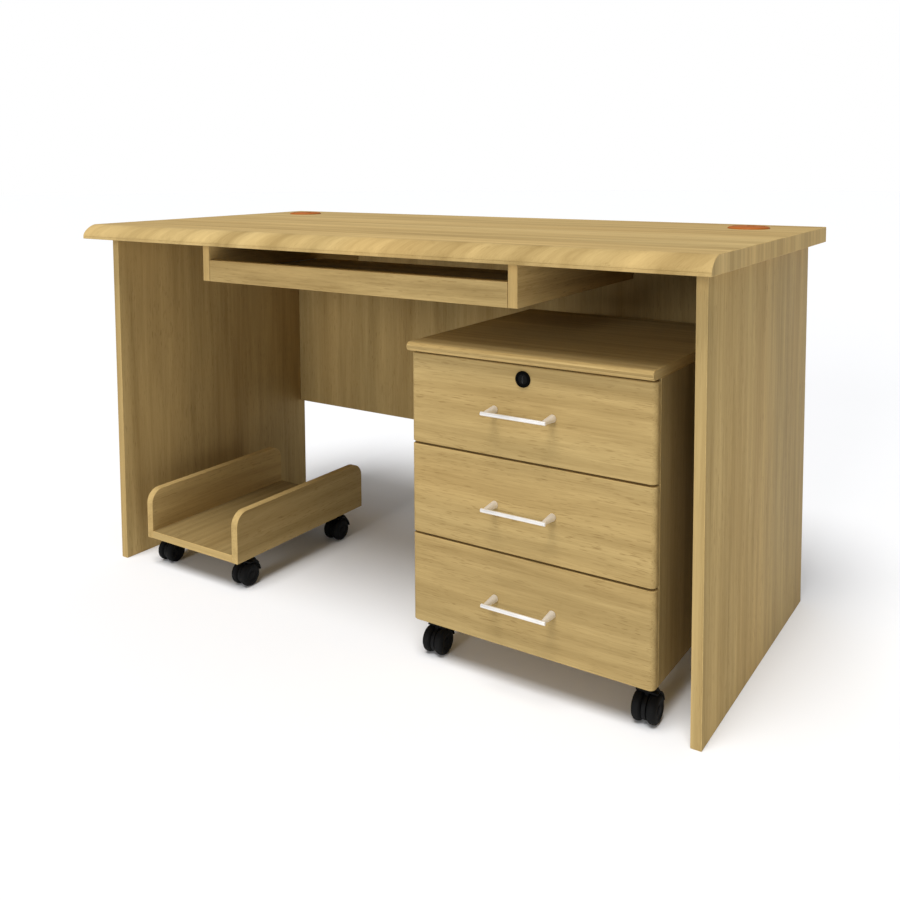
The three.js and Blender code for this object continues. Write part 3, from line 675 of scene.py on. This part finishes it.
def add_rail(node, opens):
    """A folded steel rail along Y whose channel opens towards +X or -X, with screw heads."""
    low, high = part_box(node)
    back, lip = (low.x, high.x) if opens > 0 else (high.x, low.x)
    step = RAIL_SHEET * opens
    hem = min(RAIL_HEM, RAIL_HEM_SHARE * (high.z - low.z))
    bm = bmesh.new()
    outline = [(back, low.z), (lip, low.z), (lip, low.z + hem),
               (lip - step, low.z + hem), (lip - step, low.z + RAIL_SHEET),
               (back + step, low.z + RAIL_SHEET), (back + step, high.z - RAIL_SHEET),
               (lip - step, high.z - RAIL_SHEET), (lip - step, high.z - hem),
               (lip, high.z - hem), (lip, high.z), (back, high.z)]
    prism(bm, outline, "y", low.y, high.y, RAIL_ARRIS)
    middle = (low.z + high.z) / 2
    for share in SCREW_PLACES:
        y = low.y + (high.y - low.y) * share
        head = [(0, step), (SCREW_RADIUS, step), (SCREW_RADIUS * 0.8, step * 1.9),
                (SCREW_RADIUS * 0.3, step * 2.2), (0, step * 2.2)]
        revolve(bm, head, "x", (back, y, middle), segments=20)
    stand_for(new_object(bm, f"{node}_channel", [STEEL]), node)


def add_rails():
    for side, sign in SIDES:
        add_rail(f"{side}_tray_outer_rail", -sign)
        add_rail(f"{side}_tray_inner_rail", sign)
        for number in (1, 2, 3):
            add_rail(f"cabinet_{number}_{side}_rail", -sign)
            add_rail(f"drawer_{number}_{side}_rail", sign)


# ---------------------------------------------------------------- pedestal
LOCK_BATTEN_HEIGHT = 15 * MM
LOCK_BATTEN_THICKNESS = 12 * MM
DRAWER_EDGE_RADIUS = 10 * MM
DRAWER_ARRIS = 1.2 * MM
BOX_WALL = 12 * MM
BOX_FLOOR = 6 * MM
BOX_ARRIS = 0.5 * MM


def pedestal_top_paint(face):
    normal = face.normal
    if abs(normal.x) > SQUARE:
        return END
    if abs(normal.z) > SQUARE or abs(normal.y) > SQUARE:
        return FACE
    return NOSE


def add_pedestal_top():
    low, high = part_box("pedestal_top")
    side_low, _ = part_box("pedestal_left_side")
    _, side_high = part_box("pedestal_right_side")
    underside = side_high.z
    radius = (high.z - underside) / 2
    carcass = side_high.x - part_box("pedestal_right_side")[0].x
    nose = arc(low.y + radius, underside + radius, radius, 90, 270, steps=24)
    outline = [(high.y, underside), (high.y, high.z), *nose]
    bm = bmesh.new()
    prism(bm, outline, "x", low.x, high.x)
    front = side_low.y
    bar(bm, (low.x + carcass, front, underside - LOCK_BATTEN_HEIGHT),
        (high.x - carcass, front + LOCK_BATTEN_THICKNESS, underside), FINE_ARRIS)
    # The face is painted darker as painted shade and the nose lighter as painted light.
    face = oak("x", 14, bands=20, contrast=0.7, tone=FACE_PAINTED_LIGHT["pedestal_top"])
    edge = oak("x", 15, bands=30, tone=EDGE_PAINTED_LIGHT["pedestal_top"])
    top = new_object(bm, "pedestal_top_panel", [face, edge, band("y")], pedestal_top_paint)
    stand_for(top, "pedestal_top")


def drawer_paint(face):
    return BAND_X if abs(face.normal.z) > SQUARE else FACE


def add_drawer_front(number):
    node = f"drawer_{number}_front"
    low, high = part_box(node)
    radius = DRAWER_EDGE_RADIUS
    outline = [*arc(low.x + radius, low.y + radius, radius, 180, 270, steps=12),
               *arc(high.x - radius, low.y + radius, radius, 270, 360, steps=12),
               (high.x, high.y - ARRIS), (high.x - ARRIS, high.y),
               (low.x + ARRIS, high.y), (low.x, high.y - ARRIS)]
    bm = bmesh.new()
    prism(bm, outline, "z", low.z, high.z, DRAWER_ARRIS)
    # Each front is painted darker as painted shade, the lowest one most.
    front = new_object(bm, f"{node}_panel", [
        oak("x", 20 + 3 * number, bands=12, contrast=0.85, broad=0.3, narrow=0.3, lines=0.42,
            length=0.16, rings=0.2, dashes=1.15, tone=FACE_PAINTED_LIGHT[node]),
        band("x")], drawer_paint, smooth_angle=40)
    if number == LOCKED_DRAWER:
        hole = LOCK_BARREL_RADIUS + LOCK_FIT
        tool = bmesh.new()
        revolve(tool, [(0, low.y - MM), (hole, low.y - MM), (hole, high.y + MM),
                       (0, high.y + MM)], "y", (LOCK_X, 0, LOCK_Z))
        carve(front, [new_object(tool, "lock_hole_tool", [])])
    stand_for(front, node)


def add_drawer_box(number):
    """Four walls with a floor between them."""
    node = f"drawer_{number}_box"
    low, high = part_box(node)
    left, right = low.x + BOX_WALL, high.x - BOX_WALL
    front, rear = low.y + BOX_WALL, high.y - BOX_WALL
    bm = bmesh.new()
    for corners in (((low.x, low.y, low.z), (left, high.y, high.z)),
                    ((right, low.y, low.z), (high.x, high.y, high.z)),
                    ((left, low.y, low.z), (right, front, high.z)),
                    ((left, rear, low.z), (right, high.y, high.z)),
                    ((left, front, low.z), (right, rear, low.z + BOX_FLOOR))):
        bar(bm, *corners, BOX_ARRIS)
    stand_for(new_object(bm, f"{node}_shell", [BOX_BOARD]), node)


# ---------------------------------------------------------------- handles
HANDLE_RADIUS = 3.4 * MM
HANDLE_TIP = 1.2 * MM  # length of the bar's rounded tips
HANDLE_FOOT_RADIUS = 6.6 * MM
HANDLE_FOOT_EASE = (0.5 * MM, 0.8 * MM)  # across and along the post
HANDLE_NECK = 0.95  # radius of a post where it meets the bar, as a share of the bar's
HANDLE_FLARE = 0.9  # 1 is a straight cone, and less widens sooner
HANDLE_POST_STEPS = 10
HANDLE_PITCH = 109 * MM


def add_handle(number):
    node = f"drawer_{number}_handle"
    low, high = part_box(node)
    x, z = (low.x + high.x) / 2, (low.z + high.z) / 2
    radius = HANDLE_RADIUS
    bar_y = low.y + radius
    half = (high.x - low.x) / 2
    bm = bmesh.new()
    tip = [(radius * math.sin(turn), half - HANDLE_TIP * (1 - math.cos(turn)))
           for turn in map(math.radians, (0, 30, 60, 90))]
    profile = [*[(r, -h) for r, h in tip], *[(r, h) for r, h in reversed(tip)]]
    revolve(bm, profile, "x", (x, bar_y, z), segments=32)
    grip = new_object(bm, f"{node}_bar", [ALUMINIUM])
    neck = radius * HANDLE_NECK
    ease_in, ease_along = HANDLE_FOOT_EASE
    stem = []
    for step in range(HANDLE_POST_STEPS + 1):
        share = step / HANDLE_POST_STEPS
        stem.append((neck + (HANDLE_FOOT_RADIUS - neck) * share ** HANDLE_FLARE,
                     bar_y + (high.y - bar_y - ease_along) * share))
    stem.append((HANDLE_FOOT_RADIUS - ease_in, high.y))
    posts = []
    for _, sign in SIDES:
        post = bmesh.new()
        revolve(post, [(0, bar_y), *stem, (0, high.y)], "y",
                (x + sign * HANDLE_PITCH / 2, 0, z), segments=32)
        posts.append(new_object(post, f"{node}_post_{sign}", [ALUMINIUM]))
    carve(grip, posts, "UNION")
    stand_for(grip, node)


# ---------------------------------------------------------------- drawer lock
LOCKED_DRAWER = 1
LOCK_X = 372 * MM
LOCK_Z = 537 * MM
LOCK_TRIM_RADIUS = 13.8 * MM
LOCK_BARREL_RADIUS = 9 * MM
LOCK_PLUG_RADIUS = 8.3 * MM
LOCK_FIT = 0.5 * MM
LOCK_CAM_WIDTH = 10 * MM
LOCK_CAM_THICKNESS = 3 * MM
LOCK_TRIM_GAP = 0.3 * MM
# The lock's front in mm: radius, and depth behind the trim ring's face. The plug is first,
# then the groove around it and the trim ring.
LOCK_FRONT = ((0, 0.7), (7.6, 0.7), (8, 1.0), (8.6, 1.0), (9, 0.3), (10, 0), (12.6, 0),
              (13.4, 0.4), (13.8, 1.3))
KEY_SLOT_WIDTH = 2 * MM
KEY_SLOT_HEIGHT = 12 * MM
KEY_SLOT_DEPTH = 8 * MM


def is_plug(centre, end):
    """Whether a point of the lock lies on the turning plug inside the trim ring."""
    from_axis = math.hypot(centre.x - LOCK_X, centre.z - LOCK_Z)
    return from_axis < LOCK_PLUG_RADIUS and centre.y < end - LOCK_CAM_THICKNESS


def add_lock():
    low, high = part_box("drawer_lock")
    face = low.y
    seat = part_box(f"drawer_{LOCKED_DRAWER}_front")[0].y - LOCK_TRIM_GAP
    bm = bmesh.new()
    profile = [*[(radius * MM, face + depth * MM) for radius, depth in LOCK_FRONT],
               (LOCK_TRIM_RADIUS, seat), (LOCK_BARREL_RADIUS, seat),
               (LOCK_BARREL_RADIUS, high.y), (0, high.y)]
    revolve(bm, profile, "y", (LOCK_X, 0, LOCK_Z), segments=64)
    lock = new_object(bm, "drawer_lock_barrel", [LOCK_BLACK, LOCK_PLUG, KEYWAY, CAM_STEEL],
                      lambda face: 1 if is_plug(face.calc_center_median(), high.y) else 0)
    half_w, half_h = KEY_SLOT_WIDTH / 2, KEY_SLOT_HEIGHT / 2
    tool = bmesh.new()
    bar(tool, (LOCK_X - half_w, face - MM, LOCK_Z - half_h),
        (LOCK_X + half_w, face + KEY_SLOT_DEPTH, LOCK_Z + half_h), FINE_ARRIS)
    carve(lock, [new_object(tool, "key_slot_tool", [KEYWAY])])
    cam = bmesh.new()
    half = LOCK_CAM_WIDTH / 2
    outline = [*arc(LOCK_X, LOCK_Z, half, 90, 270, steps=12),
               *arc(high.x - half, LOCK_Z, half, -90, 90, steps=12)]
    prism(cam, outline, "y", high.y - LOCK_CAM_THICKNESS, high.y, FINE_ARRIS)
    carve(lock, [new_object(cam, "cam_tool", [CAM_STEEL])], "UNION")
    stand_for(lock, "drawer_lock")


# ---------------------------------------------------------------- trolley
TROLLEY_CORNER_RADIUS = 30 * MM
EDGEWISE = 0.3  # a face is part of the edge if its normal has less than this across the board


def trolley_paint(face):
    """The banding follows the rounded corners, so it takes in every face of the edge."""
    across = abs(face.normal.x)
    if across > SQUARE:
        return FACE
    if across < EDGEWISE:
        return BAND_Y
    return EASED


def add_trolley():
    radius = TROLLEY_CORNER_RADIUS
    for side, seed in (("left", 51), ("right", 53)):
        node = f"trolley_{side}_side"
        low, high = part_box(node)
        outline = [(low.y, low.z), (high.y, low.z),
                   *arc(high.y - radius, high.z - radius, radius, 0, 90, steps=16),
                   *arc(low.y + radius, high.z - radius, radius, 90, 180, steps=16)]
        bm = bmesh.new()
        prism(bm, outline, "x", low.x, high.x)
        materials = board_materials(node, "y", seed, bands=16, contrast=0.7)
        stand_for(new_object(bm, f"{node}_panel", materials, trolley_paint), node)
    add_board("trolley_base", "y", 55, bands=16, contrast=0.6)


# ---------------------------------------------------------------- casters
WHEEL_RADIUS = 24 * MM
WHEEL_OUTER = 21 * MM
WEB_HALF_WIDTH = 3.5 * MM
WEB_ARRIS = 0.4 * MM
HOOD_INNER_RADIUS = 25.5 * MM
HOOD_OUTER_RADIUS = 28.5 * MM
HOOD_HALF_WIDTH = 19 * MM
HOOD_ARRIS = 0.9 * MM
HOOD_START = 8  # degrees about the axle, from the rear
HOOD_END = 100
WEB_RADIUS = 20 * MM
CASTER_TRAIL = 18 * MM
STEM_RADIUS = 6 * MM
STEM_PIN_RADIUS = 4 * MM
STEM_PIN_LENGTH = 12 * MM
STEM_FOOT = 20 * MM  # above the axle
STEM_SEAT_GAP = 0.5 * MM
# A groove around the stem in mm: radius, and depth below the collar's top.
STEM_GROOVE = ((6, 2.2), (5.3, 1.9), (5.3, 1.4), (6, 1.1))
AXLE_HOLE_RADIUS = 3.5 * MM
TAIL_HALF_WIDTH = 9 * MM
TAIL = ((-4, 18), (13, 9), (15, 14), (4, 27), (-14, 27))  # mm behind the stem, above the axle
# The wheel's half section in mm: radius, and distance from the middle of the caster.
WHEEL_SECTION = ((3, 4.5), (17, 4.5), (20.5, 5.4), (23, 7.8), (24, 11.3), (24, 14.2),
                 (23.2, 17.2), (21.2, 19.5), (18.2, 20.7), (15, 21), (13.6, 20.2), (12, 19.7),
                 (7.6, 19.4), (6.6, 20.5), (4, 21), (0, 21))
CORNERS = ("front_left", "front_right", "rear_left", "rear_right")


def wheel_mesh():
    """Twin wheels about X, with round treads, a dished face and a hub cap."""
    half = [(radius * MM, x * MM) for radius, x in WHEEL_SECTION]
    bm = bmesh.new()
    revolve(bm, [(radius, -x) for radius, x in reversed(half)] + half, "x", segments=56)
    return bm


def cross_bore(radius, axle, segments):
    """A rod along X over the width of the wheels, to cut with."""
    rod = bmesh.new()
    revolve(rod, [(0, -WHEEL_OUTER), (radius, -WHEEL_OUTER), (radius, WHEEL_OUTER),
                  (0, WHEEL_OUTER)], "x", (0, *axle), segments)
    return rod


def hood_object(name, underside):
    """The hood over the wheels with its web, tail and stem, about a stem on the Z axis."""
    axle = (-CASTER_TRAIL, WHEEL_RADIUS)
    materials = [BLACK_PLASTIC, STEEL]
    shield = bmesh.new()
    prism(shield, [*arc(*axle, HOOD_OUTER_RADIUS, HOOD_START, HOOD_END, steps=24),
                   *arc(*axle, HOOD_INNER_RADIUS, HOOD_END, HOOD_START, steps=24)],
          "x", -HOOD_HALF_WIDTH, HOOD_HALF_WIDTH, HOOD_ARRIS)
    web = bmesh.new()
    prism(web, [*arc(*axle, HOOD_INNER_RADIUS + MM, HOOD_START, HOOD_END, steps=20),
                *arc(*axle, WEB_RADIUS, HOOD_END, 360 + HOOD_START, steps=28)],
          "x", -WEB_HALF_WIDTH, WEB_HALF_WIDTH, WEB_ARRIS)
    tail = bmesh.new()
    prism(tail, [(y * MM, WHEEL_RADIUS + z * MM) for y, z in TAIL],
          "x", -TAIL_HALF_WIDTH, TAIL_HALF_WIDTH)
    clear = cross_bore(HOOD_INNER_RADIUS, axle, segments=56)
    tail_part = carve(new_object(tail, "tail_tool", materials),
                      [new_object(clear, "clear_tool", materials)])
    stem = bmesh.new()
    foot, collar = WHEEL_RADIUS + STEM_FOOT, underside - STEM_SEAT_GAP
    tip = underside + STEM_PIN_LENGTH
    groove = [(radius * MM, collar - depth * MM) for radius, depth in STEM_GROOVE]
    revolve(stem, [(0, foot), (STEM_RADIUS, foot), *groove, (STEM_RADIUS, collar),
                   (STEM_PIN_RADIUS, collar), (STEM_PIN_RADIUS, tip - MM),
                   (STEM_PIN_RADIUS - MM, tip), (0, tip)], "z", segments=32)
    hood = new_object(shield, name, materials)
    others = [new_object(web, "web_tool", materials), tail_part,
              new_object(stem, "stem_tool", materials)]
    carve(hood, others, "UNION")
    hole = cross_bore(AXLE_HOLE_RADIUS, axle, segments=24)
    carve(hood, [new_object(hole, "axle_tool", materials)])
    for polygon in hood.data.polygons:
        is_pin = polygon.center.z > collar + 0.1 * MM
        polygon.material_index = 1 if is_pin else 0
    return hood


def linked_copy(mesh, name):
    """Another object with the same mesh."""
    obj = bpy.data.objects.new(name, mesh)
    bpy.context.scene.collection.objects.link(obj)
    return obj


def add_casters():
    """All wheels share one mesh, and the hoods of the pedestal and of the trolley share theirs."""
    wheel_shape = None
    for owner in ("pedestal", "trolley"):
        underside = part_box(f"{owner}_base")[0].z
        hood_shape = None
        for corner in CORNERS:
            wheel_node = f"{owner}_{corner}_caster_wheels"
            hood_node = f"{owner}_{corner}_caster_hood"
            low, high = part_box(wheel_node)
            axle = (low + high) / 2
            if wheel_shape:
                wheels = linked_copy(wheel_shape, f"{wheel_node}_pair")
            else:
                wheels = new_object(wheel_mesh(), f"{wheel_node}_pair", [TREAD])
                wheel_shape = wheels.data
            if hood_shape:
                hood = linked_copy(hood_shape, f"{hood_node}_moulding")
            else:
                hood = hood_object(f"{hood_node}_moulding", underside)
                hood_shape = hood.data
            wheels.location = axle
            hood.location = (axle.x, axle.y + CASTER_TRAIL, 0)
            bpy.context.view_layer.update()
            stand_for(wheels, wheel_node)
            stand_for(hood, hood_node)


# ---------------------------------------------------------------- floor and backdrop
def add_stage():
    bm = bmesh.new()
    bmesh.ops.create_grid(bm, x_segments=2, y_segments=2, size=FLOOR_SIZE / 2)
    material, tree, shader = new_material("pale_floor", roughness=FLOOR_ROUGHNESS)
    place = add_node(tree, "ShaderNodeTexCoord").outputs["Object"]
    patches = noise(tree, place, (3, 3, 3))
    soft = ramp(tree, patches, *NOISE_SPAN, FLOOR_MOTTLE, 1.0)
    tree.links.new(mix(tree, 1, rgba(FLOOR_COLOR), soft, "MULTIPLY"), shader.inputs["Base Color"])
    floor = new_object(bm, "floor", [material])
    shell = bmesh.new()
    bmesh.ops.create_icosphere(shell, subdivisions=4, radius=FLOOR_SIZE / 2)
    white = bpy.data.materials.new("white_backdrop")
    white.use_nodes = True
    nodes = white.node_tree.nodes
    nodes.remove(nodes["Principled BSDF"])
    glow = add_node(white.node_tree, "ShaderNodeEmission", {"Color": (1, 1, 1, 1), "Strength": 1})
    white.node_tree.links.new(glow.outputs[0], nodes["Material Output"].inputs["Surface"])
    backdrop = new_object(shell, "backdrop", [white])
    for ray in ("diffuse", "glossy", "transmission", "volume_scatter", "shadow"):
        setattr(backdrop, f"visible_{ray}", False)


add_camera()
add_lights()
add_stage()
add_boards()
add_desktop()
add_grommets()
add_rails()
add_pedestal_top()
for drawer in (1, 2, 3):
    add_drawer_front(drawer)
    add_drawer_box(drawer)
    add_handle(drawer)
add_lock()
add_trolley()
add_casters()
